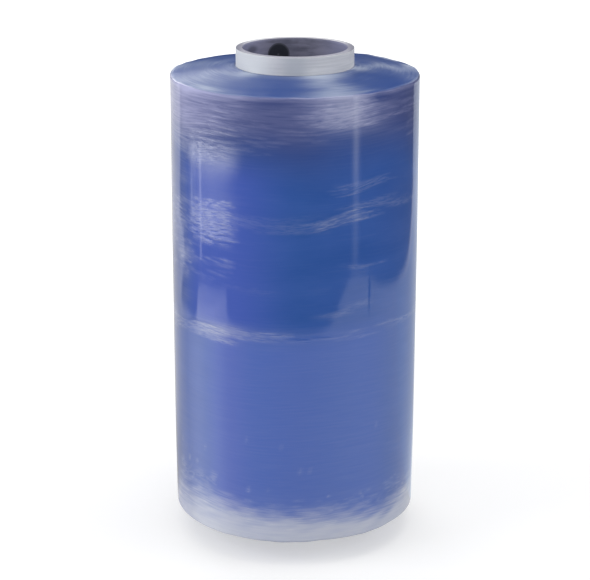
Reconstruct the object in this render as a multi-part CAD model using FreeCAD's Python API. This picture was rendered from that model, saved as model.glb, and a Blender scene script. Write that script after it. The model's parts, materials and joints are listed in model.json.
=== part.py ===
"""Freezer film roll: a web of blue film wound on a paperboard core, standing on the core's lower end.

Three pieces: the core, the wound film and a round label stuck inside the core's upper end.
Lengths are in millimetres. Angles are in degrees from +X, counter-clockwise seen from above.
The origin is on the core's axis, in the plane that the core stands on, and +Z runs up the core.
"""

import FreeCAD, Part
import math
import os

from FreeCAD import Vector

# Core: a spiral-wound paperboard tube, longer than the film is wide.
CORE_BORE_D = 76.2
CORE_WALL = 4.8
CORE_LENGTH = 368.0
CORE_RIM_CHAMFER = 0.6

# Film: one web, wound tight on the core and centred along it.
FILM_OUTER_D = 182.0
FILM_EDGE_WIDTH = 330.0  # across the outermost turns
FILM_END_CROWN = 6.0  # how far the innermost turns bulge out past the outermost ones, at each end
FILM_CROWN_POWER = 1.35  # 1 gives a cone, and more gives a dome
FILM_EDGE_CHAMFER = 1.0
FILM_TAIL_STEP = 0.2  # the outer end of the web, pressed down on the turn under it
FILM_TAIL_ANGLE = 65.0

# The turns show on the end faces as rings: bands of turns, each a step lower than the one inside it.
RING_COUNT = 12
RING_STEP = 0.25

# Label: a round paper disc stuck to the wall of the bore.
LABEL_D = 17.0
LABEL_THICKNESS = 0.12
LABEL_DROP = 12.0  # from the core's upper rim to the label's centre
LABEL_ANGLE = 109.0

# Sizes that follow from those above.
bore_r = CORE_BORE_D / 2
core_r = bore_r + CORE_WALL
film_r = FILM_OUTER_D / 2
film_top = (CORE_LENGTH + FILM_EDGE_WIDTH) / 2
face_end_r = film_r - FILM_EDGE_CHAMFER

AXIS = Vector(0, 0, 1)
ORIGIN = Vector(0, 0, 0)


def make_core():
    """The tube, with the edges of its cut ends broken inside and out."""
    tube = Part.makeCylinder(core_r, CORE_LENGTH).cut(Part.makeCylinder(bore_r, CORE_LENGTH))
    rims = [edge for edge in tube.Edges if isinstance(edge.Curve, Part.Circle)]
    return tube.makeChamfer(CORE_RIM_CHAMFER, rims)


def face_point(r, rise=0.0):
    """A point on the domed upper end face at radius r, or above the face by rise."""
    share = (r - core_r) / (film_r - core_r)
    crown = FILM_END_CROWN * (1 - share**FILM_CROWN_POWER)
    return Vector(r, 0, film_top + crown + rise)


def upper_outline():
    """The upper end from the core outwards: each ring's band, the step at its outer edge, the chamfer."""
    ring_width = (face_end_r - core_r) / RING_COUNT
    points = [face_point(core_r)]
    for ring in range(1, RING_COUNT):
        r = core_r + ring * ring_width
        points.append(face_point(r, RING_STEP))
        points.append(face_point(r))
    points.append(face_point(face_end_r))
    points.append(Vector(film_r, 0, film_top - FILM_EDGE_CHAMFER))
    return points


def make_wound_form():
    """The film as a body of revolution, with the same face at both ends."""
    upper = upper_outline()
    lower = [Vector(point.x, 0, CORE_LENGTH - point.z) for point in reversed(upper)]
    profile = Part.Face(Part.makePolygon(upper + lower + upper[:1]))
    return profile.revolve(ORIGIN, AXIS, 360)


def make_last_turn():
    """A prism round the film. Half of its outline is a true circle, and half winds in to the tail."""
    step = FILM_TAIL_STEP
    true_half = Part.Arc(
        Vector(film_r, 0, 0),
        Vector(0, film_r, 0),
        Vector(-film_r, 0, 0),
    )
    inward_half = Part.Arc(
        Vector(-film_r, 0, 0),
        Vector(-step / 2, -film_r + step / 2, 0),
        Vector(film_r - step, 0, 0),
    )
    tail = Part.makeLine(Vector(film_r - step, 0, 0), Vector(film_r, 0, 0))
    outline = Part.Face(Part.Wire([true_half.toShape(), inward_half.toShape(), tail]))
    prism = outline.extrude(AXIS * CORE_LENGTH)
    prism.rotate(ORIGIN, AXIS, FILM_TAIL_ANGLE)
    return prism


def make_film():
    """The wound film: the roll's turns are one solid, and the last one ends in a straight tail."""
    return make_wound_form().common(make_last_turn())


def make_label():
    """A disc of paper, curved to the bore's wall."""
    wall_skin = Part.makeCylinder(bore_r, CORE_LENGTH).cut(
        Part.makeCylinder(bore_r - LABEL_THICKNESS, CORE_LENGTH)
    )
    angle = math.radians(LABEL_ANGLE)
    outward = Vector(math.cos(angle), math.sin(angle), 0)
    centre = AXIS * (CORE_LENGTH - LABEL_DROP)
    return wall_skin.common(Part.makeCylinder(LABEL_D / 2, core_r, centre, outward))


def main():
    pieces = {"core": make_core(), "film": make_film(), "core_label": make_label()}
    os.makedirs("parts", exist_ok=True)
    for name, shape in pieces.items():
        shape.Solids[0].exportStep(f"parts/{name}.step")
        print(f"{name}: {len(shape.Solids)} solid, valid {shape.isValid()}, {shape.Volume / 1000:.3f} cm3")


main()
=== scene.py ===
"""The look of a freezer film roll: wound blue film on a paperboard core, in a plain studio."""

import json
import math
from collections import namedtuple

import bpy
import numpy as np
from mathutils import Matrix, Vector


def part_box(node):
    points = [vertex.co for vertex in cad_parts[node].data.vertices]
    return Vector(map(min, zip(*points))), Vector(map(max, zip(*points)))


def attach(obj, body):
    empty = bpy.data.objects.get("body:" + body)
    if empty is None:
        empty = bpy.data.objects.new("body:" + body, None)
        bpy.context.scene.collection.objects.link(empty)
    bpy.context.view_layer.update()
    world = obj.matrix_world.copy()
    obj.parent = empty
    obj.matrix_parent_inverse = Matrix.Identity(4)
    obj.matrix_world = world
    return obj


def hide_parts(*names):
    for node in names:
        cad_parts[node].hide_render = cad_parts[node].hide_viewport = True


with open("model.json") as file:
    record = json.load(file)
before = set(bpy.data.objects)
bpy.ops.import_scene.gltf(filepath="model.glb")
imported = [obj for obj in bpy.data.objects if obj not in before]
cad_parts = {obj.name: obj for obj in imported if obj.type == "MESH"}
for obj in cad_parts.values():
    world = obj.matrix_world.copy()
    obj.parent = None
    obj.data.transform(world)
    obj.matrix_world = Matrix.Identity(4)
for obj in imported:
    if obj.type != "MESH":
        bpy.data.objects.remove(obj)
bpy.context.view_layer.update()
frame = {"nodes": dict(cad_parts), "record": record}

# Sizes read from the frame, in metres.
CORE_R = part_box("core")[1].x
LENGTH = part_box("core")[1].z
BORE_R = next(m for m in frame["record"]["mounts"] if m["name"] == "core_bore")["dims"]["r_mm"] / 1000
FILM_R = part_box("film")[1].y
FILM_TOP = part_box("film")[1].z

# The film's own form, as in its solid.
CROWN = 0.006
CROWN_POWER = 1.35
EDGE_TOP = FILM_TOP - CROWN
EDGE_LOW = LENGTH - EDGE_TOP
SHOULDER = 0.001
DRAWN_IN = 0.0005
EDGE_R = FILM_R - DRAWN_IN
FACE_END = EDGE_R - SHOULDER
TAIL_STEP = 0.0002
TAIL = math.radians(155)
TAIL_GAP = 0.0008  # the angle over which the tail's step drops, in radians
RINGS = 12
RING_STEP = 0.00025
FILM_WIDTH_MM = 1000 * (EDGE_TOP - EDGE_LOW)

# How fine the meshes are: their columns round the axis, and their rows.
FILM_COLUMNS = 360
SIDE_ROWS = 220
END_ROWS = 26
CORE_COLUMNS = 240
CORE_OUTSIDE_ROWS = 80
CORE_INSIDE_ROWS = 230
CORE_RIM_ROWS = 14

# Relief too fine for the solids, in metres.
WRINKLE_HEIGHT = 0.00011
SLACK_BROAD = 0.00002
SLACK_FINE = 0.000006
BAND_HEIGHT = 0.000012
RING_UNEVEN = 0.00006
EDGE_BROAD = 0.00035
EDGE_FINE = 0.00012
RIM_INSET = 0.0002
RIM_CORNER = 0.0005
RIM_PLIES = 0.00006
RIM_UNEVEN = 0.00009
SEAM_OUTSIDE = 0.00007
SEAM_INSIDE = 0.00008
SEAM_HALF_WIDTH = 0.0016
BORE_UNEVEN = 0.000025


# ---------------------------------------------------------------------------
# Shapes in numbers
# ---------------------------------------------------------------------------


def smooth(low, high, x):
    """0 at low and 1 at high, with a soft change between."""
    t = np.clip((x - low) / (high - low), 0, 1)
    return t * t * (3 - 2 * t)


def hump(x, middle, half_width):
    """1 at the middle, falling off softly to either side."""
    return np.exp(-(((x - middle) / half_width) ** 2))


def humps(x, *terms):
    """The sum of several humps, each given as its strength, middle and half width."""
    return sum(strength * hump(x, middle, half_width) for strength, middle, half_width in terms)


def turn(a, b):
    """The signed angle from b to a, the short way round."""
    return (a - b + math.pi) % (2 * math.pi) - math.pi


def around(phi):
    """The angle phi in degrees, from -180 to 180."""
    return np.degrees(turn(phi, 0))


def waves(phi, z, seed, count, turns, pitch):
    """A smooth uneven field round the roll, from -1 to 1 or so: the sum of count random waves.

    turns is the most waves once round, and pitch the shortest wave along the roll."""
    rng = np.random.default_rng(seed)
    field = np.zeros(np.broadcast(phi, z).shape)
    for _ in range(count):
        times_round = rng.integers(1, turns + 1)
        along = rng.uniform(-1, 1) * 2 * math.pi / pitch
        field = field + np.cos(times_round * phi + along * z + rng.uniform(0, 2 * math.pi))
    return field / math.sqrt(count)


# ---------------------------------------------------------------------------
# The film's surface. phi is the angle round the roll from the side that faces the camera, positive
# to the right, and h is the height above the film's lower edge in millimetres.
# ---------------------------------------------------------------------------

# A place where the film was wound askew: its middle and reach round the roll in degrees, its height and
# spread in millimetres, and how far the film's lines climb there in 10 degrees.
Lean = namedtuple("Lean", "middle reach height spread climb")

LEANS = [
    Lean(-62, 30, 155, 12, 3.2),
    Lean(-74, 20, 225, 26, 2.8),
    Lean(-34, 24, 206, 10, -2.2),
    Lean(-43, 15, 240, 15, 4.4),
    Lean(-47, 14, 286, 9, 3.6),
    Lean(-56, 22, 307, 11, 3.0),
    Lean(16, 26, 243, 9, 3.0),
    Lean(32, 20, 266, 8, 3.6),
    Lean(24, 18, 181, 9, 2.6),
    Lean(28, 14, 208, 6, -1.8),
    Lean(28, 20, 157, 7, 1.6),
    Lean(24, 24, 314, 9, 2.2),
    Lean(-60, 16, 38, 13, 3.4),
    Lean(64, 16, 38, 13, -3.4),
    Lean(150, 24, 246, 9, -2.6),
    Lean(-130, 28, 232, 20, 1.6),
]

# A cluster of fine wrinkles: how many, the middle and half spread of their places round the roll and
# their half length in degrees; their height, scatter and half width in millimetres; and their strength.
Cluster = namedtuple("Cluster", "count middle spread length height scatter width strength")

WRINKLES = [
    # The belt just below half height.
    Cluster(46, -44, 10, 8, 154.5, 5.0, 1.1, 0.8),
    Cluster(26, -50, 24, 9, 154, 3.4, 0.8, 0.5),
    Cluster(18, -84, 16, 12, 154, 4.0, 1.0, 0.6),
    Cluster(30, -16, 18, 7, 158.5, 4.5, 0.6, 0.38),
    Cluster(13, 25, 12, 8, 156, 4.0, 0.6, 0.25),
    # The drawn-up patch on the left, and the broad slack band that leaves it to the right.
    Cluster(240, -41, 11, 4.5, 239, 16, 0.6, 0.70),
    Cluster(50, -60, 8, 5, 234, 16, 0.7, 0.5),
    Cluster(30, -60, 6, 4, 204, 13, 0.8, 0.5),
    Cluster(22, -10, 20, 14, 243, 6.0, 1.4, 0.22),
    Cluster(60, -45, 14, 5, 285, 8.0, 0.8, 0.5),
    # Slanting creases on the right.
    Cluster(34, 22, 13, 10, 242, 5.0, 0.6, 0.68),
    Cluster(12, 44, 14, 14, 249, 4.0, 1.8, 0.3),
    Cluster(22, 32, 11, 8, 266, 5.0, 0.6, 0.36),
    # Arcs between the patch and the belt, and single threads.
    Cluster(26, -44, 14, 7, 207, 11, 0.6, 0.42),
    Cluster(3, 32, 8, 13, 208, 1.2, 0.6, 0.5),
    Cluster(5, -8, 24, 14, 195, 3.0, 0.5, 0.2),
    Cluster(7, 22, 10, 9, 175, 4.0, 0.9, 0.32),
    Cluster(30, -75, 9, 8, 222, 40, 1.3, 0.6),
    # The fan below the upper edge.
    Cluster(60, 23, 13, 9, 317, 9.0, 1.0, 0.7),
    Cluster(34, -6, 26, 10, 306, 14, 0.9, 0.3),
    Cluster(44, -54, 26, 15, 308, 22, 1.6, 0.3),
    # Behind, as plain as the rest.
    Cluster(40, 110, 60, 12, 157, 3.6, 0.9, 0.4),
    Cluster(34, -150, 45, 12, 154, 3.6, 0.9, 0.5),
    Cluster(24, 150, 22, 10, 246, 5.0, 0.9, 0.5),
    Cluster(34, -130, 28, 10, 232, 24, 1.0, 0.4),
    Cluster(90, 150, 100, 12, 310, 16, 1.0, 0.4),
    # Crumpled film that stands above the foot's haze on either side.
    Cluster(110, -55, 16, 2.6, 36, 13, 0.7, 0.42),
    Cluster(30, 60, 12, 2.6, 29, 8, 0.7, 0.34),
]

# Along the foot the haze breaks up into short tufts, all the way round.
FOOT_TUFTS = Cluster(620, 0, 180, 3.2, 22, 11, 0.7, 0.28)

# How much single wrinkles climb, and bend, as they run round: millimetres per radian, and per its square.
CLIMB_SPREAD = 4.0
BEND_SPREAD = 14.0

WRINKLE_SEED = 100
SPECK_SEED = 71
SPECKS = 34

# A place where the film is paler, or clearer where its strength is negative: its middle and half width
# round the roll in degrees, and its height and half spread in millimetres.
Spot = namedtuple("Spot", "strength middle width height spread")

PALE_SPOTS = [
    # Along the belt.
    Spot(0.30, -37, 12, 158.5, 5),
    Spot(0.06, -20, 34, 161, 4.5),
    Spot(0.46, -82, 9, 156, 5),
    # Between the belt and the upper edge, all on the left.
    # The next two spots, at the left edge, are partly painted reflection too.
    Spot(0.11, -61, 6, 177, 7),
    Spot(0.07, -61, 6, 236, 6),
    Spot(0.05, -31, 7, 255, 6),
    Spot(0.11, -34, 9, 288, 7),
    Spot(-0.05, -71, 8, 303, 8),
]


def strands(phi, line, seed, cluster):
    """The wrinkles of one cluster as a field: 0 is flat film, and 1 the crest of a strong wrinkle."""
    rng = np.random.default_rng(seed)
    field = np.zeros(np.broadcast(phi, line).shape)
    for _ in range(cluster.count):
        middle = math.radians(cluster.middle + cluster.spread * rng.uniform(-1, 1))
        level = cluster.height + cluster.scatter * np.clip(rng.normal(0, 0.5), -1, 1)
        length = math.radians(cluster.length) * rng.uniform(0.4, 1.4)
        climb, bend = rng.normal(0, CLIMB_SPREAD), rng.normal(0, BEND_SPREAD)
        away = turn(phi, middle)
        off = (line - level - climb * away - bend * away**2) / (cluster.width * rng.uniform(0.7, 1.3))
        ends = np.clip(1 - (away / length) ** 2, 0, 1)
        field = np.maximum(field, rng.uniform(0.3, 1.0) * cluster.strength * ends * np.exp(-(off**2)))
    return field


def crinkle(phi, line):
    """Where the film is drawn into fine pale wrinkles. line is the height of the film's line there."""
    field = np.zeros(np.broadcast(phi, line).shape)
    for i, cluster in enumerate([FOOT_TUFTS] + WRINKLES):
        field = np.maximum(field, strands(phi, line, WRINKLE_SEED + i, cluster))
    return field


def specks(phi, h):
    """Small specks of air caught under the outer turn, in the lower part."""
    rng = np.random.default_rng(SPECK_SEED)
    field = np.zeros(np.broadcast(phi, h).shape)
    for _ in range(SPECKS):
        middle = rng.uniform(-math.pi, math.pi)
        level = 30 + 60 * rng.uniform(0, 1) ** 1.6
        size = rng.uniform(0.9, 1.5)
        across = turn(phi, middle) * FILM_R * 1000
        speck = np.exp(-(across**2 + (h - level) ** 2) / size**2)
        field = np.maximum(field, rng.uniform(0.2, 0.6) * speck)
    return field


def drift(phi, line):
    """How far one of the film's lines wanders up or down from level, in millimetres."""
    wander = 1.6 * waves(phi, line, 11, 5, 4, 500)
    for lean in LEANS:
        away = turn(phi, math.radians(lean.middle))
        window = hump(away, 0, math.radians(lean.reach)) * hump(line, lean.height, lean.spread)
        wander = wander + math.degrees(lean.climb / 10) * np.sin(away) * window
    return wander * smooth(1, 12, line) * smooth(FILM_WIDTH_MM - 1, FILM_WIDTH_MM - 9, line)


def upper_haze(phi, h):
    """The pale belt under the upper edge: strongest on the left and behind, with a fan near the front."""
    deg = around(phi)
    left = smooth(-16, -60, deg) * smooth(-175, -140, deg)
    right = smooth(34, 58, deg) * smooth(120, 90, deg)
    level = h + 3 * waves(phi, 0, 61, 4, 7, 100) + 6 * left
    belt = smooth(284, 322, level) * (0.13 + 0.37 * left - 0.11 * right)
    fan = 0.44 * smooth(298, 322, level + 0.25 * (deg - 24)) * hump(deg, 23, 15)
    beside_fan = 0.05 * hump(deg, 45, 8) * smooth(312, 322, h)
    behind = 0.25 * smooth(285, 322, h) * smooth(80, 120, np.abs(deg))
    return belt + fan + beside_fan + behind


def edge_haze(phi, h):
    """How the haze changes over the last few millimetres below the upper edge."""
    deg = around(phi)
    edge = 0.2 * smooth(326, 329.5, h) + 0.22 * hump(deg, -54, 20) * smooth(322, 329, h)
    edge = edge + 0.3 * hump(deg, -85, 9) * smooth(296, 322, h)
    edge = edge - 0.16 * hump(deg, -72, 7) * smooth(323, 328, h)
    edge = edge + 0.09 * hump(deg, -34, 8) * smooth(322, 327, h)
    edge = edge + 0.08 * hump(deg, -25, 6) * smooth(317, 321, h)
    edge = edge - 0.1 * hump(deg, -9, 12) * smooth(321, 326, h)
    return edge - 0.26 * hump(deg, 39, 9) * smooth(320, 326, h)


def middle_haze(phi, h):
    """The thin cloudiness between the edges: a mottled band up the left that is partly painted
    reflection, and a mist below the belt.
    """
    deg = around(phi)
    mottled = 1 + 0.5 * waves(phi, h, 68, 8, 12, 14)
    # The band up the left is partly a painted reflection of the white table beside the roll.
    flank_haze_and_reflection = 0.16 * hump(deg, -62, 7) * smooth(178, 202, h) * (1 - 0.6 * hump(h, 270, 7)) * mottled
    clear = 0.7 * smooth(34, 56, deg) * smooth(120, 90, deg)
    mist = (0.006 + 0.012 * smooth(150, 60, h)) * smooth(166, 146, h) * (1 - clear)
    spots = sum(spot.strength * hump(deg, spot.middle, spot.width) * hump(h, spot.height, spot.spread)
                for spot in PALE_SPOTS)
    return flank_haze_and_reflection + mist + spots


def foot_haze(phi, h):
    """The white foot. Its ragged upper end stands higher on the left."""
    deg = around(phi)
    rise = 31 + humps(deg, (4, -57, 20), (-3.5, -18, 10), (2.5, 15, 16), (-4.5, 47, 10))
    rise = rise + (3.5 * smooth(-10, -40, deg) + 1.2 * hump(deg, -16, 9)) * smooth(-100, -80, deg)
    rise = rise + 2.0 * waves(phi, 0, 63, 3, 5, 100)
    ragged = 1.6 * waves(phi, h, 62, 8, 6, 9) + 1.5 * waves(phi, h, 67, 12, 34, 7)
    reach = 26 + 9 * smooth(-10, -40, deg)
    strength = 0.86 + humps(deg, (0.08, -40, 18), (0.08, 20, 18), (-0.28, -82, 12))
    foot = strength * smooth(0, -1, (h + ragged - rise) / reach)
    return foot + 0.02 * hump(h, 31, 7) * (1 + hump(deg, -15, 9))


def haze_and_highlight(phi, h):
    """How pale the side is, from 0 for clear blue film to 1 for white: mostly air caught between the
    outer turns, with a painted reflection up the left.
    """
    total = upper_haze(phi, h) + edge_haze(phi, h) + middle_haze(phi, h) + foot_haze(phi, h)
    return np.clip(total, 0, 1)


def dusk(phi, h):
    """How far the blue is dulled: near the upper edge, where the turns lie slack, and down the left."""
    deg = around(phi)
    upper = smooth(262, 316, h + 4 * waves(phi, 0, 64, 4, 6, 100)) * (1 - 0.4 * hump(deg, 22, 16))
    left = hump(deg, -76, 14) * (0.35 + 0.25 * smooth(120, 200, h))
    right = 0.16 * hump(deg, 54, 15) * smooth(190, 235, h)
    return np.maximum(upper, left + right)


def violet_highlight(phi, h):
    """Where the blue is deeper and purpler: painted light of the lamp on the left, a broad painted
    highlight down the left of the front, with like bands behind and at the sides.
    """
    deg = around(phi)
    front = smooth(4, -30, deg) * smooth(-74, -44, deg)
    behind = humps(deg, (0.7, 118, 16), (0.6, -150, 20))
    upper = (front + behind) * smooth(300, 270, h)
    lower = humps(deg, (0.8, -31, 9), (0.25, -54, 12)) + 0.3 * smooth(75, 100, np.abs(deg))
    low = below_belt(h)
    return upper * (1 - low) + lower * low


def below_belt(h):
    """1 below the belt of wrinkles, where the blue is another, and 0 above it."""
    return smooth(172, 144, h)


def shallow(phi, h):
    """Where the lower part's blue is brighter, on the front."""
    deg = around(phi)
    return 0.95 * below_belt(h) * smooth(-50, -34, deg) * smooth(52, 28, deg)


def teal(phi, h):
    """Where the lower part's blue turns to teal, on the right of the front."""
    return 0.8 * below_belt(h) * hump(around(phi), 27, 20)


def edge_rise(phi):
    """How far the film's edge stands off its true level, in metres: the turns never end quite flush."""
    return EDGE_BROAD * waves(phi, 0, 91, 5, 9, 100) + EDGE_FINE * waves(phi, 0, 92, 5, 40, 100)


def side_relief(columns, phi, line, wrinkled, pale):
    """How far the side stands out from the true cylinder, in metres. The roll narrows to both ends."""
    full = smooth(0, 70, line) * smooth(FILM_WIDTH_MM, 210, line)
    from_tail = (columns - TAIL) % (2 * math.pi)
    wound = -TAIL_STEP * np.clip(from_tail / math.pi - 1, 0, 1)
    slack = SLACK_BROAD * waves(phi, line, 31, 8, 7, 120) + SLACK_FINE * waves(phi, line, 32, 10, 30, 40)
    bands = BAND_HEIGHT * waves(phi, line, 34, 12, 8, 5) * smooth(0.05, 0.3, pale)
    return wound + slack + bands + WRINKLE_HEIGHT * wrinkled - DRAWN_IN * (1 - full)


def crown(r):
    """How far the end face stands out past the film's edge at radius r."""
    share = np.clip((r - CORE_R) / (FILM_R - CORE_R), 0, 1)
    return CROWN * (1 - share**CROWN_POWER)


def end_relief(phi, r):
    """The rings on an end face, in metres: each ends in a small step, and none is quite even."""
    ring = RINGS * (r - CORE_R) / (FACE_END - CORE_R)
    within = ring - np.floor(ring)
    step = RING_STEP * within**3 * (ring < RINGS)
    uneven = RING_UNEVEN * waves(phi, 1000 * r, 41, 8, 5, 9)
    return step + uneven


def end_haze_and_highlights(phi, r):
    """The pale sectors on the end faces: mostly painted highlights of the lamps off the rings of film
    edges, and partly paler film where the edges of the turns stand apart.
    """
    deg = around(phi)
    share = (r - CORE_R) / (FILM_R - CORE_R)
    wobble = 3 * waves(0 * phi, 1000 * r, 66, 4, 1, 18)
    sectors = humps(deg, (0.30, -65 + wobble, 13), (0.28, -106 - wobble, 14), (0.12, -47, 9))
    sectors = sectors + humps(deg, (0.50, 21 + wobble, 12), (0.38, 94 - wobble, 11), (0.06, 75, 9))
    # The rest are changes near one radius each, from the core outwards.
    by_core = 0.16 * smooth(-60, -45, deg) * smooth(90, 74, deg)
    by_core = by_core + humps(deg, (0.33, -46, 10), (0.34, 73, 10), (0.36, 35, 11), (0.2, 10, 9))
    by_core = by_core + humps(deg, (0.2, -86, 9), (-0.2, -66, 7), (-0.2, -104, 8))
    inner = humps(deg, (0.24, -44, 11), (0.16, 22, 18), (0.2, 74, 11), (-0.3, 97, 8))
    halfway = humps(deg, (0.12, 95, 9), (0.06, 48, 12), (0.08, -130, 8))
    outer = humps(deg, (0.60, -44, 12), (0.20, -104, 8), (-0.26, -85, 8))
    outer = outer + humps(deg, (0.32, 29, 11), (0.14, 75, 10), (0.12, 110, 10))
    crumpled = humps(deg, (0.56, 113, 13), (0.84, 134, 12)) * (0.7 + 0.5 * waves(phi, 0, 65, 6, 40, 100))
    # The rim's strongest term is a painted highlight along the outer edge, at the back on the left.
    rim = 0.24 + humps(deg, (1.6, -104, 12), (0.36, -32, 12), (0.46, 73, 10))
    rim = rim + humps(deg, (-0.4, 35, 7), (-0.22, 95, 7), (-0.12, -65, 8))
    near_one_radius = (
        by_core * smooth(0.30, 0.06, share)
        + inner * smooth(0.50, 0.10, share)
        + halfway * hump(share, 0.4, 0.3)
        + outer * hump(share, 0.88, 0.07)
        + crumpled * smooth(0.8, 0.88, share)
        + rim * smooth(0.92, 1.0, share)
    )
    return np.clip(sectors + near_one_radius + 0.01, 0, 1)


# ---------------------------------------------------------------------------
# Meshes
# ---------------------------------------------------------------------------


def add_mesh(name, points, faces):
    """A smooth-shaded mesh object, linked to the scene."""
    mesh = bpy.data.meshes.new(name)
    mesh.from_pydata([tuple(p) for p in points], [], [tuple(int(i) for i in f) for f in faces])
    mesh.polygons.foreach_set("use_smooth", np.ones(len(mesh.polygons), bool))
    obj = bpy.data.objects.new(name, mesh)
    bpy.context.scene.collection.objects.link(obj)
    return obj


def grid_faces(rows, columns, ring=True, closed=False):
    """Quads between neighbouring rows. ring joins the last column to the first, closed the last row."""
    row = np.arange(rows if closed else rows - 1)[:, None]
    column = np.arange(columns if ring else columns - 1)[None, :]
    after = (column + 1) % columns
    above = (row + 1) % rows
    corners = [(row, column), (row, after), (above, after), (above, column)]
    quads = [at_row * columns + at_column for at_row, at_column in corners]
    return np.stack(np.broadcast_arrays(*quads), -1).reshape(-1, 4)


def round_the_axis(phi, radius, height):
    """Points, one for each entry of the grids, at angle phi round the roll's axis."""
    parts = np.broadcast_arrays(radius * np.sin(phi), -radius * np.cos(phi), height)
    return np.stack(parts, -1).reshape(-1, 3)


def add_values(mesh, name, values):
    """Stores a number, or a row of three, at each point of the mesh, for its material."""
    kind, key = ("FLOAT_VECTOR", "vector") if values.ndim == 2 else ("FLOAT", "value")
    mesh.attributes.new(name, kind, "POINT").data.foreach_set(key, values.astype(np.float32).ravel())


def spaced(low, high, count, busy):
    """Levels from low to high that lie closer together where busy() is large."""
    fine = np.linspace(low, high, 4000)
    share = np.cumsum(busy(fine))
    share = (share - share[0]) / (share[-1] - share[0])
    return np.interp(np.linspace(0, 1, count), share, fine)


def film_busy(h):
    """Where the film's rows lie close together, because it is wrinkled there."""
    belts = smooth(138, 148, h) * smooth(172, 164, h) + smooth(222, 230, h) * smooth(276, 266, h)
    arcs = 0.5 * smooth(193, 198, h) * smooth(221, 216, h)
    return 0.3 + np.minimum(belts + arcs + smooth(284, 300, h) + smooth(44, 32, h), 1)


def film_columns():
    """The angles of the mesh's columns. Two lie close together at the tail, for its crisp step."""
    even = np.linspace(0, 2 * math.pi, FILM_COLUMNS - 1, endpoint=False)
    return np.concatenate([TAIL + even, [TAIL + 2 * math.pi - TAIL_GAP]])[None, :]


def film_side():
    """The side with its two rounded corners, from the lower end upwards. Rows follow the film's lines."""
    corner = np.radians([30, 60])
    line = spaced(1000 * SHOULDER, FILM_WIDTH_MM - 1000 * SHOULDER, SIDE_ROWS, film_busy)
    low = 1000 * SHOULDER * (1 - np.cos(corner))
    line = np.concatenate([low, line, FILM_WIDTH_MM - low[::-1]])[:, None]
    out = SHOULDER * (1 - np.sin(corner))
    inset = np.concatenate([out, np.zeros(SIDE_ROWS), out[::-1]])[:, None]
    columns = film_columns()
    # The tail's edge isn't quite straight.
    wavy = 0.02 * np.sin(line / 41 + 1.0) + 0.012 * np.sin(line / 17)
    phi = columns + wavy * hump(turn(columns, TAIL), 0, 0.25)
    h = line + drift(phi, line)
    wrinkled = crinkle(phi, line)
    pale = haze_and_highlight(phi, h)
    radius = FILM_R - inset + side_relief(columns, phi, line, wrinkled, pale)
    rise = edge_rise(phi) * smooth(8, 0, line)
    rise = rise + edge_rise(phi + 2) * smooth(FILM_WIDTH_MM - 8, FILM_WIDTH_MM, line)
    return {
        "points": round_the_axis(phi, radius, EDGE_LOW + h / 1000 + rise),
        "haze_and_highlight": pale,
        "crinkle": np.maximum(wrinkled, specks(phi, h)),
        "violet_highlight": violet_highlight(phi, h),
        "shallow": shallow(phi, h),
        "teal": teal(phi, h),
        "dusk": dusk(phi, h),
        "along": line + 0 * phi,
        "phi": phi,
    }


def film_end(lower):
    """An end face, from the core outwards for the lower one, and inwards for the upper one."""
    r = np.linspace(CORE_R, FACE_END, END_ROWS)[:, None]
    phi = film_columns()
    share = (r - CORE_R) / (FACE_END - CORE_R)
    if lower:
        z = EDGE_LOW - crown(r) - end_relief(phi + 2, r) + edge_rise(phi) * share**6
    else:
        z = EDGE_TOP + crown(r) + end_relief(phi, r) + edge_rise(phi + 2) * share**6
        r, z = r[::-1], z[::-1]
    none = 0 * phi * r
    return {
        "points": round_the_axis(phi, r, z),
        # The end faces' pale sectors are mostly painted highlights.
        "haze_and_highlight": end_haze_and_highlights(phi, r),
        "crinkle": none,
        "violet_highlight": none,
        "shallow": none,
        "teal": none,
        "dusk": 0.35 + none,
        "along": 1000 * r + 0.25 * waves(phi, 0, 51, 5, 6, 50),
        "phi": phi + none,
    }


def make_film():
    """The wound film: its lower end, side and upper end as one closed mesh."""
    parts = [film_end(True), film_side(), film_end(False)]
    rows = [len(part["haze_and_highlight"]) for part in parts]
    points = np.concatenate([part["points"] for part in parts])
    film = add_mesh("film_roll", points, grid_faces(sum(rows), FILM_COLUMNS, closed=True))
    mesh = film.data

    def field(name):
        return np.concatenate([part[name] for part in parts]).ravel()

    # The pale field holds caught air and painted light: highlights on the end faces, and a reflection up
    # the left of the side.
    for name in ("haze_and_highlight", "crinkle", "shallow", "teal", "violet_highlight", "dusk"):
        add_values(mesh, name, field(name))
    add_values(mesh, "flow", np.stack([np.sin(field("phi")), np.cos(field("phi")), field("along")], 1))
    slots = np.repeat(np.repeat([1, 0, 1], rows), FILM_COLUMNS)
    mesh.polygons.foreach_set("material_index", slots)
    mesh.materials.append(film_side_material())
    mesh.materials.append(film_end_material())
    return film


def label_clear(phi, z):
    """0 behind the label and 1 away from it, so that the wall stays true where the label is stuck."""
    low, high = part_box("core_label")
    middle = (low + high) / 2
    radius = (high.z - low.z) / 2
    across = turn(phi, math.atan2(middle.x, -middle.y)) * BORE_R
    away = np.hypot(across, z - middle.z)
    return smooth(radius + 0.0005, radius + 0.0055, away)


def seam(phi, z, lead):
    """A dip of depth 1 along the helical joint of a paper ply. lead is how far it climbs in one turn."""
    place = (z - lead * phi / (2 * math.pi)) % lead
    return -hump(np.minimum(place, lead - place), 0, SEAM_HALF_WIDTH)


def core_angles():
    return np.linspace(0, 2 * math.pi, CORE_COLUMNS, endpoint=False)[None, :]


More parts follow.
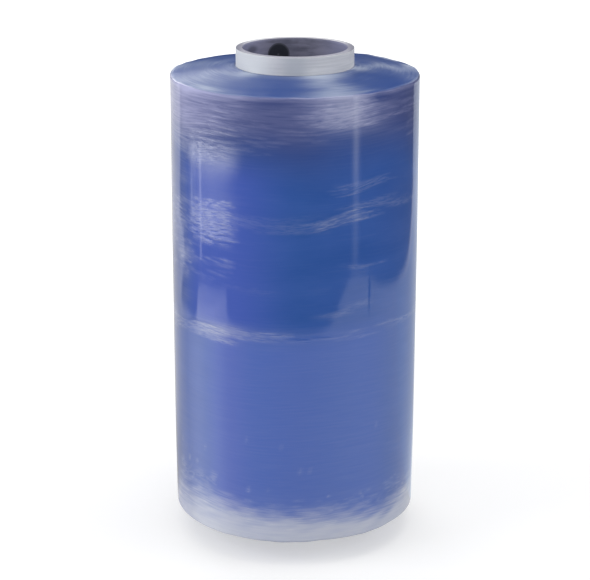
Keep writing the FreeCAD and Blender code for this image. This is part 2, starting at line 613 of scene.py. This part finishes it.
def core_outside():
    """The outer wall, from the lower end upwards, with close rows where it stands clear of the film."""

    def busy(z):
        return 0.06 + (np.abs(z - LENGTH / 2) > LENGTH / 2 - 0.02)

    z = spaced(0, LENGTH, CORE_OUTSIDE_ROWS, busy)[:, None]
    return z, CORE_R + SEAM_OUTSIDE * seam(core_angles(), z, lead=0.118)


def core_inside():
    """The bore's wall, from the upper end downwards."""
    z = np.linspace(LENGTH, 0, CORE_INSIDE_ROWS)[:, None]
    phi = core_angles()
    rough = SEAM_INSIDE * seam(phi + 1.1, z, lead=0.096)
    rough = rough + BORE_UNEVEN * waves(phi, 1000 * z, 81, 10, 12, 14)
    return z, BORE_R - rough * label_clear(phi, z)


def core_rim(upper):
    """The cut end of the wall, with rounded corners and the plies showing as faint rings."""
    share = np.linspace(0, 1, CORE_RIM_ROWS + 2)[1:-1, None]
    phi = core_angles()
    r = CORE_R + (BORE_R - CORE_R) * share
    from_middle = np.abs(2 * share - 1)
    plies = RIM_PLIES * np.sin(2 * math.pi * share * 5 + 0.6 * np.sin(3 * phi))
    plies = plies + RIM_UNEVEN * waves(phi, 0, 82, 5, 9, 9)
    inset = RIM_INSET + RIM_CORNER * from_middle**8 - plies * (1 - from_middle**4)
    if upper:
        return LENGTH - inset, r
    return inset[::-1], r[::-1]


def make_core():
    """The core: its outer wall, upper rim, bore and lower rim as one closed mesh."""
    parts = [core_outside(), core_rim(True), core_inside(), core_rim(False)]
    phi = core_angles()
    points = np.concatenate([round_the_axis(phi, r + 0 * phi, z + 0 * phi) for z, r in parts])
    rows = [len(z) for z, r in parts]
    core = add_mesh("core_tube", points, grid_faces(sum(rows), CORE_COLUMNS, closed=True))
    slots = np.repeat(np.repeat([0, 1, 2, 1], rows), CORE_COLUMNS)
    core.data.polygons.foreach_set("material_index", slots)
    for material in (core_outside_material(), core_rim_material(), core_inside_material()):
        core.data.materials.append(material)
    return core


# ---------------------------------------------------------------------------
# Materials
# ---------------------------------------------------------------------------


class Nodes:
    """Short calls for building one material's nodes."""

    def __init__(self, name):
        self.material = bpy.data.materials.new(name)
        self.material.use_nodes = True
        self.tree = self.material.node_tree
        self.shader = self.tree.nodes["Principled BSDF"]

    def put(self, socket, value):
        """Links another node's output to a socket, or sets the socket to a constant."""
        if isinstance(value, bpy.types.NodeSocket):
            self.tree.links.new(value, socket)
        else:
            socket.default_value = value

    def add(self, kind, inputs=(), output=0, **settings):
        """Adds a node and gives back one of its outputs."""
        node = self.tree.nodes.new(kind)
        for key, value in settings.items():
            setattr(node, key, value)
        for key, value in dict(inputs).items():
            self.put(node.inputs[key], value)
        return node.outputs[output]

    def math(self, operation, a, b=0.0, c=0.0, clamp=False):
        return self.add("ShaderNodeMath", {0: a, 1: b, 2: c}, operation=operation, use_clamp=clamp)

    def plus(self, a, b, clamp=False):
        return self.math("ADD", a, b, clamp=clamp)

    def times(self, a, b):
        return self.math("MULTIPLY", a, b)

    def magnitude(self, value):
        return self.math("ABSOLUTE", value)

    def attribute(self, name, output="Fac"):
        return self.add("ShaderNodeAttribute", output=output, attribute_name=name)

    def place(self):
        return self.add("ShaderNodeTexCoord", output="Object")

    def place_axes(self):
        """The place's x, y and z."""
        node = self.tree.nodes.new("ShaderNodeSeparateXYZ")
        self.put(node.inputs[0], self.place())
        return list(node.outputs)

    def step(self, value, low, high):
        """0 at low and 1 at high, with a soft change between."""
        inputs = {"Value": value, "From Min": low, "From Max": high}
        return self.add("ShaderNodeMapRange", inputs, interpolation_type="SMOOTHSTEP")

    def stretch(self, vector, scale):
        return self.add("ShaderNodeVectorMath", {0: vector, 1: scale}, operation="MULTIPLY")

    def distance(self, a, b):
        return self.add("ShaderNodeVectorMath", {0: a, 1: b}, output="Value", operation="DISTANCE")

    def noise(self, vector, scale=1.0, detail=2.0, roughness=0.5):
        inputs = {"Vector": vector, "Scale": scale, "Detail": detail, "Roughness": roughness}
        return self.add("ShaderNodeTexNoise", inputs)

    def mix(self, share, a, b):
        node = self.tree.nodes.new("ShaderNodeMix")
        node.data_type = "RGBA"
        self.put(node.inputs["Factor"], share)
        self.put(node.inputs["A"], a)
        self.put(node.inputs["B"], b)
        return node.outputs["Result"]

    def bump(self, height, depth):
        return self.add("ShaderNodeBump", {"Height": height, "Distance": depth, "Strength": 1.0})

    def set(self, **values):
        """Sets the main shader's sockets, named with underscores for spaces."""
        for key, value in values.items():
            self.put(self.shader.inputs[key.replace("_", " ")], value)


def colour(r, g, b):
    return (r, g, b, 1.0)


# The film's blues, a purple blue that is a painted highlight, and the colours that caught air gives it.
# On the end faces the pale colour is mostly that of painted highlights.
BLUE = colour(0.030, 0.100, 0.378)
BLUE_PALE = colour(0.041, 0.114, 0.41)
BLUE_LOW = colour(0.036, 0.105, 0.46)
TEAL = colour(0.060, 0.136, 0.478)
VIOLET_HIGHLIGHT = colour(0.065, 0.117, 0.482)
DUSK = colour(0.050, 0.072, 0.23)
AIR = colour(0.55, 0.58, 0.68)
AIR_DUSK = colour(0.49, 0.50, 0.76)
END_AIR_AND_HIGHLIGHT = colour(0.52, 0.62, 0.70)


def film_material(name, air, coat, specular, anisotropy, blur):
    """Clear blue film. Air between the turns makes it pale, in streaks that run round the roll. The pale
    field also carries painted light: painted highlights on the end faces and a painted reflection up the
    left of the side.
    """
    n = Nodes(name)
    flow = n.attribute("flow", "Vector")
    haze_here = n.attribute("haze_and_highlight")
    dusk_here = n.attribute("dusk")
    broad = n.noise(n.stretch(flow, (1.5, 1.5, 0.05)), detail=3.0)
    streaks = n.noise(n.stretch(flow, (3.0, 3.0, 0.75)), detail=4.0, roughness=0.6)
    threads = n.noise(n.stretch(flow, (14.0, 14.0, 1.1)), detail=3.0, roughness=0.55)
    # The streaks show in thin haze, and fade out where it is nearly white.
    spread = n.plus(n.times(n.step(haze_here, 0.0, 0.3), 0.8), 0.07)
    spread = n.times(spread, n.math("MULTIPLY_ADD", n.step(haze_here, 0.62, 0.84), -0.6, 1.0))
    veil = n.plus(n.times(n.math("SUBTRACT", streaks, 0.5), spread), haze_here, clamp=True)
    lines = n.times(n.step(threads, 0.25, 0.62), n.attribute("crinkle"))
    pale = n.plus(veil, n.times(lines, 0.55), clamp=True)
    base = n.mix(n.step(broad, 0.3, 0.7), BLUE, BLUE_PALE)
    base = n.mix(n.attribute("shallow"), base, BLUE_LOW)
    base = n.mix(n.attribute("teal"), base, TEAL)
    # The purple blue is a painted highlight.
    base = n.mix(n.attribute("violet_highlight"), base, VIOLET_HIGHLIGHT)
    base = n.mix(dusk_here, base, DUSK)
    n.set(Base_Color=n.mix(pale, base, n.mix(dusk_here, air, AIR_DUSK)))
    n.set(Roughness=n.plus(n.times(pale, 0.2), blur))
    n.set(IOR=1.5, Specular_IOR_Level=specular, Anisotropic=anisotropy, Anisotropic_Rotation=0.25)
    n.set(Coat_Weight=coat, Coat_Roughness=0.065, Coat_IOR=1.62)
    n.set(Tangent=n.add("ShaderNodeTangent", direction_type="RADIAL", axis="Z"))
    n.set(Normal=n.bump(n.plus(n.times(n.times(streaks, spread), 0.3), lines), 0.00010))
    rippled = n.times(streaks, n.math("MULTIPLY_ADD", spread, 0.2, 0.10))
    n.set(Coat_Normal=n.bump(n.plus(rippled, n.times(lines, 0.5)), 0.00008))
    return n.material


def film_side_material():
    """The outermost turn: glossy film."""
    return film_material("film_side", AIR, coat=1.0, specular=0.05, anisotropy=0.6, blur=0.3)


def film_end_material():
    """The edges of the turns: duller, and brushed round the axis."""
    return film_material("film_end", END_AIR_AND_HIGHLIGHT, coat=0.0, specular=0.5, anisotropy=0.85, blur=0.34)


def core_outside_material():
    """Smooth white liner paper with faint rub lines round it. Its left side is lighter with painted
    light, and a band down the front and back is darker with painted shade.
    """
    n = Nodes("core_outside")
    x = n.place_axes()[0]
    grain = n.noise(n.stretch(n.place(), (30.0, 30.0, 900.0)), detail=4.0, roughness=0.6)
    mottle = n.noise(n.place(), 90.0, 4.0)
    white = n.mix(n.step(grain, 0.3, 0.7), colour(0.60, 0.615, 0.65), colour(0.70, 0.71, 0.745))
    white = n.mix(n.times(n.step(mottle, 0.45, 0.8), 0.6), white, colour(0.56, 0.57, 0.63))
    # Painted light: the left side is lighter.
    painted_light_left = n.times(n.step(x, -0.010, -0.026), 0.8)
    white = n.mix(painted_light_left, white, colour(0.76, 0.79, 0.82))
    # Painted shade: a darker band down the front and back.
    painted_shade_middle = n.times(n.step(n.magnitude(x), 0.014, 0.002), 0.8)
    white = n.mix(painted_shade_middle, white, colour(0.50, 0.53, 0.58))
    n.set(Base_Color=white, Roughness=0.7, Specular_IOR_Level=0.3)
    n.set(Normal=n.bump(n.plus(grain, mottle), 0.00005))
    return n.material


def core_rim_material():
    """The cut edge of the board, a little fuzzy, with its plies as faint rings."""
    n = Nodes("core_rim")
    x, y = n.place_axes()[:2]
    radius = n.math("SQRT", n.plus(n.times(x, x), n.times(y, y)))
    ring_inputs = {"W": n.times(radius, 1600.0), "Scale": 1.0}
    rings = n.add("ShaderNodeTexNoise", ring_inputs, noise_dimensions="1D")
    fuzz = n.noise(n.place(), 900.0, 4.0, 0.7)
    both = n.times(n.plus(rings, fuzz), 0.5)
    grey = n.mix(n.step(both, 0.3, 0.7), colour(0.34, 0.34, 0.42), colour(0.50, 0.50, 0.58))
    # The rim is lighter on the far side and darker at the left and right.
    lighter_far = n.times(n.step(y, 0.008, 0.030), 0.9)
    grey = n.mix(lighter_far, grey, colour(0.74, 0.74, 0.78))
    darker_sides = n.times(n.step(n.magnitude(x), 0.036, 0.041), 0.6)
    grey = n.mix(darker_sides, grey, colour(0.20, 0.20, 0.26))
    n.set(Base_Color=grey, Roughness=0.9, Specular_IOR_Level=0.2)
    n.set(Normal=n.bump(both, 0.00012))
    return n.material


def core_inside_material():
    """Bare grey board, mottled, with the plies' edges running round as a helix."""
    n = Nodes("core_inside")
    x = n.place_axes()[0]
    streaks = n.noise(n.stretch(n.place(), (40.0, 40.0, 260.0)), detail=4.0, roughness=0.6)
    mottle = n.noise(n.place(), 45.0, 4.0)
    both = n.times(n.plus(streaks, mottle), 0.5)
    grey = n.mix(n.step(both, 0.38, 0.62), colour(0.12, 0.125, 0.18), colour(0.24, 0.24, 0.33))
    # Painted reflection: the wall is paler and bluer towards the left and right.
    painted_reflection_sides = n.times(n.step(n.magnitude(x), 0.014, 0.036), 0.7)
    grey = n.mix(painted_reflection_sides, grey, colour(0.31, 0.32, 0.49))
    # A dark patch on the wall, below the rim.
    flat = Vector((0.6, 0.6, 1.3))
    dark_patch_at = Vector(at(-124, BORE_R, LENGTH - 0.006))
    dark_patch = n.step(n.distance(n.stretch(n.place(), flat), dark_patch_at * flat), 0.0055, 0.0015)
    n.set(Base_Color=n.mix(n.times(dark_patch, 0.6), grey, colour(0.04, 0.045, 0.07)))
    n.set(Roughness=0.85, Specular_IOR_Level=0.25)
    n.set(Normal=n.bump(both, 0.00015))
    return n.material


def label_material():
    """A small dark printed disc with a paler border and a dot in its middle."""
    n = Nodes("dark_label")
    low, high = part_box("core_label")
    away = n.distance(n.place(), (low + high) / 2)
    radius = (high.z - low.z) / 2
    dark = n.mix(n.noise(n.place(), 700.0, 3.0), colour(0.016, 0.019, 0.028), colour(0.03, 0.034, 0.048))
    border = n.step(away, radius * 0.86, radius * 0.9)
    ringed = n.mix(border, dark, colour(0.07, 0.075, 0.10))
    dot = n.step(away, radius * 0.16, radius * 0.08)
    n.set(Base_Color=n.mix(dot, ringed, colour(0.12, 0.125, 0.15)), Roughness=0.5)
    return n.material


# ---------------------------------------------------------------------------
# The studio
# ---------------------------------------------------------------------------

WHITE = colour(1.0, 1.0, 1.0)
# How much the white surroundings light matt surfaces. The eye and mirrors see them at full strength.
FILL = 0.62
# The cards' radiances: the dark room, the table, the table behind the roll, and the tint of its shade.
DARK = 0.06
TABLE_GLOW = 0.92
SHADED_GLOW = 0.78
SHADE_TINT = (0.92, 1.0, 1.12)
# The cards lie a little above the floor, one over the other.
DARK_LEVEL = 0.002
BRIGHT_LEVEL = 0.0015
SHADE_LEVEL = 0.001
# How far from the axis the room's wall stands, how far out the cards on the floor reach, and where the
# two upright panels stand.
ROOM_RADIUS = 4.5
FAR = 4.0
LEFT_PANEL_AWAY = 0.8
RIGHT_PANEL_AWAY = 0.84


def ray_switch(tree, names):
    """1 for rays of the named kinds, and 0 for the rest."""
    path = tree.nodes.new("ShaderNodeLightPath")
    total = path.outputs[names[0]]
    for name in names[1:]:
        node = tree.nodes.new("ShaderNodeMath")
        node.operation = "MAXIMUM"
        tree.links.new(total, node.inputs[0])
        tree.links.new(path.outputs[name], node.inputs[1])
        total = node.outputs[0]
    return total


def make_world():
    """Plain white surroundings."""
    world = bpy.data.worlds.new("studio")
    bpy.context.scene.world = world
    world.use_nodes = True
    tree = world.node_tree
    background = tree.nodes["Background"]
    background.inputs["Color"].default_value = WHITE
    strength = tree.nodes.new("ShaderNodeMapRange")
    strength.inputs["To Min"].default_value = FILL
    strength.inputs["To Max"].default_value = 1.0
    switch = ray_switch(tree, ["Is Camera Ray", "Is Glossy Ray", "Is Transmission Ray"])
    tree.links.new(switch, strength.inputs["Value"])
    tree.links.new(strength.outputs[0], background.inputs["Strength"])


def make_floor():
    """A pale floor that keeps the roll's shadow and fades to white away from it."""
    half = 12.0
    points = [(-half, -half, 0), (half, -half, 0), (half, half, 0), (-half, half, 0)]
    floor = add_mesh("floor", points, [(0, 1, 2, 3)])
    n = Nodes("floor")
    n.set(Base_Color=colour(0.62, 0.62, 0.62), Roughness=0.9, Specular_IOR_Level=0.0)
    away = n.add("ShaderNodeVectorMath", {0: n.place()}, output="Value", operation="LENGTH")
    y = n.place_axes()[1]
    # Its own light lifts it to white away from the roll.
    seen = n.plus(n.times(n.step(away, 0.2, 1.3), 0.35), 0.46)
    seen = n.times(seen, ray_switch(n.tree, ["Is Camera Ray", "Is Transmission Ray"]))
    # Mirrors see it brighter in front of the roll than behind.
    mirrored = n.times(n.step(y, 0.5, -0.1), 0.25)
    mirrored = n.times(mirrored, ray_switch(n.tree, ["Is Glossy Ray"]))
    n.set(Emission_Color=WHITE, Emission_Strength=n.plus(seen, mirrored))
    floor.data.materials.append(n.material)


def studio_card(name, points, faces, glow):
    """A card that shows only in reflections: a dark flag, or a light panel.

    glow is its radiance: one number, or a number or a colour for each point."""
    card = add_mesh(name, points, faces)
    glow = np.asarray(glow, float)
    radiance = glow if glow.ndim == 2 else glow.reshape(-1, 1)
    add_values(card.data, "glow", np.broadcast_to(radiance, (len(points), 3)))
    n = Nodes(name)
    n.tree.nodes.remove(n.shader)
    emission = n.add("ShaderNodeEmission", {"Color": n.attribute("glow", "Vector"), "Strength": 1.0})
    n.put(n.tree.nodes["Material Output"].inputs["Surface"], emission)
    card.data.materials.append(n.material)
    card.visible_camera = False
    card.visible_diffuse = False
    card.visible_transmission = False
    card.visible_shadow = False


def at(azimuth, distance, height=0.0):
    """A point of the studio, by its azimuth in degrees from the camera's side, positive to the right."""
    a = math.radians(azimuth)
    return (distance * math.sin(a), -distance * math.cos(a), height)


def upright_strip(name, azimuths, heights, distance, glow):
    """A curved upright panel round the roll, with its radiance given by glow(azimuth, height)."""
    azimuth, height = np.meshgrid(azimuths, heights)
    points = round_the_axis(np.radians(azimuth), distance, height)
    faces = grid_faces(len(heights), len(azimuths), ring=False)
    studio_card(name, points, faces, glow(azimuth, height).ravel())


# The white table's outline as the film mirrors it, from right behind round the front to left behind.
TABLE = [
    (0.745, 0.87), (0.645, 0.60), (0.635, 0.45), (0.68, 0.25), (0.720, 0.0), (0.722, -0.19),
    (0.703, -0.33), (0.63, -0.475), (0.50, -0.535), (0.32, -0.543), (0.19, -0.575), (0.0, -0.600),
    (-0.24, -0.558), (-0.53, -0.32), (-0.64, -0.32), (-0.71, -0.10), (-0.70, 0.07), (-0.59, 0.10),
    (-0.55, 0.25), (-0.50, 0.37), (-0.59, 0.40), (-0.70, 0.36), (-0.76, 0.43), (-0.76, 0.53),
    (-0.79, 0.63), (-0.88, 0.71), (-1.10, 0.88), (-3.15, 2.46),
]


def rounded(outline, steps=6):
    """A smooth curve through the outline's points, with this many steps between neighbours."""
    line = np.array([outline[0]] + outline + [outline[-1]])
    curve = []
    for a, b, c, d in zip(line, line[1:], line[2:], line[3:]):
        for t in np.arange(steps) / steps:
            bend = 2 * a - 5 * b + 4 * c - d + t * (3 * (b - c) + d - a)
            curve.append(b + 0.5 * t * (c - a + t * bend))
    return np.array(curve + [line[-1]])


def shade_behind(azimuth, distance):
    """The table's radiance behind the roll. The shade is deepest, and bluish, behind it on the right."""
    right = 0.19 * smooth(0.10, 0.34, distance) - 0.05 * smooth(0.72, 0.98, distance)
    right = right - 0.06 * hump(distance, 1.06, 0.18)
    right = right * smooth(103, 142 - 12 * smooth(0.3, 0.75, distance), azimuth)
    left = 0.13 + 0.15 * smooth(0.30, 0.18, distance) + 0.12 * smooth(0.16, 0.11, distance)
    left = left - 0.03 * smooth(0.28, 0.36, distance) - 0.18 * smooth(0.76, 0.88, distance)
    left = (left + 0.06 * smooth(1.15, 1.4, distance)) * smooth(105, 125, 360 - azimuth)
    side = smooth(170, 182, azimuth)
    shade = SHADED_GLOW - right * (1 - side) - left * side
    return shade[..., None] * (1 + (1 - side[..., None]) * (np.array(SHADE_TINT) - 1))


def dark_surroundings():
    """Everything beyond the white table's outline, with a soft edge, as the film mirrors it."""
    table = rounded(TABLE)
    along = np.gradient(table, axis=0)
    outward = np.column_stack([-along[:, 1], along[:, 0]]) / np.hypot(along[:, 0], along[:, 1])[:, None]
    azimuth = np.arctan2(table[:, 0], -table[:, 1])
    soft = 0.008 + 0.03 * smooth(95, 130, np.degrees(np.abs(azimuth)))[:, None]
    level = np.full(len(table), DARK_LEVEL)
    rings = [np.column_stack([table + outward * soft * side, level]) for side in (-1, 1)]
    # The sheet's far edge stops on the left, where the outline doubles back.
    rings.append(round_the_axis(np.maximum(azimuth, math.radians(-95)), FAR, DARK_LEVEL))
    glow = np.repeat([TABLE_GLOW, DARK, DARK], len(table))
    studio_card("flag_floor", np.concatenate(rings), grid_faces(3, len(table), ring=False), glow)


def dark_bar():
    """A dark bar on the table, seen end on."""
    corners = [(0.712, -0.275), (0.612, -0.254), (0.612, -0.226), (0.712, -0.249)]
    studio_card("flag_bar", [(x, y, DARK_LEVEL) for x, y in corners], [(0, 1, 2, 3)], DARK)


def shaded_table():
    """The table behind the roll, where it is in soft shade."""
    near_rows = np.concatenate([[0.10, 0.12, 0.14, 0.16], np.arange(0.19, 1.7, 0.06)])
    azimuth, distance = np.meshgrid(np.arange(105, 256, 3), np.append(near_rows, [2.0, FAR]))
    points = round_the_axis(np.radians(azimuth), distance, SHADE_LEVEL)
    shade = shade_behind(azimuth, distance)
    studio_card("flag_behind", points, grid_faces(*azimuth.shape, ring=False), shade.reshape(-1, 3))


def dark_room():
    """The room's walls and ceiling, as a dome."""
    rows, columns = 9, 32
    up = np.radians(np.linspace(0, 90, rows))[:, None]
    phi = np.linspace(0, 2 * math.pi, columns, endpoint=False)[None, :]
    points = round_the_axis(phi, ROOM_RADIUS * np.cos(up), ROOM_RADIUS * np.sin(up) + 0.05)
    studio_card("flag_room", points, grid_faces(rows, columns), DARK)


def left_glow(azimuth, height):
    """The low bright panel on the left: brightest along its top, soft at its sides, with two lines."""
    wide = 4 * smooth(0.118, 0.131, height) + humps(height, (-3, 0.105, 0.015), (5, 0.068, 0.008))
    across = smooth(-112, -98, azimuth) * smooth(-47 + wide, -70 + wide, azimuth)
    across = across * (1 + 0.2 * hump(azimuth, -78, 6) - 0.3 * hump(azimuth, -98, 2.5))
    across = across * (1 - 0.35 * smooth(-85, -91, azimuth) * smooth(0.075, 0.062, height))
    up = 0.65 + 0.5 * smooth(0.098, 0.112, height) + 2.3 * smooth(0.113, 0.13, height)
    up = up + 0.8 * smooth(0.090, 0.080, height) + 1.0 * smooth(0.075, 0.063, height)
    up = up * smooth(0.036, 0.044, height) * smooth(0.150, 0.138, height)
    lines = 0.8 * hump(azimuth, -105, 1.0) * smooth(0.03, 0.06, height) * smooth(0.12, 0.10, height)
    lines = lines + 1.6 * hump(azimuth, -92.5, 1.0)
    return DARK + across * up + lines * smooth(0.158, 0.13, height)


def right_glow(azimuth, height):
    """The thin upright light on the right. It is dimmer near its foot."""
    return DARK + 1.25 * hump(azimuth, 54.5, 3.0) * (0.38 + 0.62 * smooth(0.083, 0.123, height))


def bright_table():
    """A strip of the table on the left that stands in stronger light, as the film mirrors it."""
    columns = 15
    share = np.linspace(0, 1, columns)[:, None]
    # The strip's end beside the roll, and its far end. Each runs from the camera's side backwards.
    near = np.array([-0.045, -0.085]) * (1 - share) + np.array([-0.089, -0.042]) * share
    far = np.array([-0.634, -0.396]) * (1 - share) + np.array([-0.65, 0.285]) * share
    points = np.column_stack([np.concatenate([near, far]), np.full(2 * columns, BRIGHT_LEVEL)])
    glow = TABLE_GLOW + 0.62 * smooth(0, 0.4, share) * smooth(1, 0.6, share)
    studio_card("table_bright", points, grid_faces(2, columns, ring=False), np.tile(glow.ravel(), 2))


def upright_panels():
    """The lights that draw the film's sharp highlights."""
    low_heights = np.linspace(0.003, 0.163, 33)
    upright_strip("panel_left", np.arange(-120, -42, 1), low_heights, LEFT_PANEL_AWAY, left_glow)
    tall_heights = [0.003, 0.08, 0.09, 0.10, 0.11, 0.12, 0.13, 0.5, 1.4]
    upright_strip("panel_right", np.arange(47, 63, 1), tall_heights, RIGHT_PANEL_AWAY, right_glow)


def make_cards():
    """The cards that the film mirrors."""
    dark_surroundings()
    dark_bar()
    shaded_table()
    dark_room()
    bright_table()
    upright_panels()


def add_softbox(name, place, size, radiance, mirrored=True):
    """A square soft light that faces the roll's middle. radiance is how bright its face is."""
    data = bpy.data.lights.new(name, "AREA")
    data.size = size
    data.energy = radiance * math.pi * size**2
    light = bpy.data.objects.new(name, data)
    light.location = place
    aim = Vector((0, 0, LENGTH / 2)) - Vector(place)
    light.rotation_euler = aim.to_track_quat("-Z", "Y").to_euler()
    light.visible_camera = False
    light.visible_glossy = mirrored
    bpy.context.scene.collection.objects.link(light)


def make_lights():
    """Soft lights behind and above, and three at the sides and front that leave no reflection."""
    add_softbox("light_behind", at(-155, 1.6, 1.1), size=1.0, radiance=1.8)
    add_softbox("light_above", (0.35, 0.0, 2.2), size=1.0, radiance=2.0)
    add_softbox("light_left", at(-72, 2.0, 1.0), size=1.4, radiance=2.9, mirrored=False)
    add_softbox("light_right", at(80, 2.0, 1.0), size=1.2, radiance=1.6, mirrored=False)
    add_softbox("light_front", at(12, 2.4, 1.2), size=1.0, radiance=1.8, mirrored=False)


# The camera, fitted to the roll's outlines. Angles are in degrees.
SENSOR_MM = 36
LENS_MM = 114.32
CAMERA_PLACE = (0.0002, -1.341, 0.6088)
CAMERA_DOWN = 17.573
CAMERA_ROLL = 0.07


def make_camera():
    """A camera in front of the roll that looks a little down on it."""
    data = bpy.data.cameras.new("camera")
    data.sensor_width = SENSOR_MM
    data.lens = LENS_MM
    camera = bpy.data.objects.new("camera", data)
    camera.location = CAMERA_PLACE
    aim = Matrix.Rotation(math.radians(90 - CAMERA_DOWN), 3, "X")
    aim = aim @ Matrix.Rotation(math.radians(CAMERA_ROLL), 3, "Z")
    camera.rotation_euler = aim.to_euler()
    bpy.context.scene.collection.objects.link(camera)
    bpy.context.scene.camera = camera


def dress_label():
    """The label keeps its own solid and gets a material."""
    label = frame["nodes"]["core_label"].data
    label.materials.clear()
    label.materials.append(label_material())


def main():
    film = make_film()
    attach(film, "root")
    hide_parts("film")
    core = make_core()
    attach(core, "root")
    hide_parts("core")
    dress_label()
    make_world()
    make_floor()
    make_cards()
    make_lights()
    make_camera()
    bpy.context.scene.view_settings.view_transform = "Standard"


main()
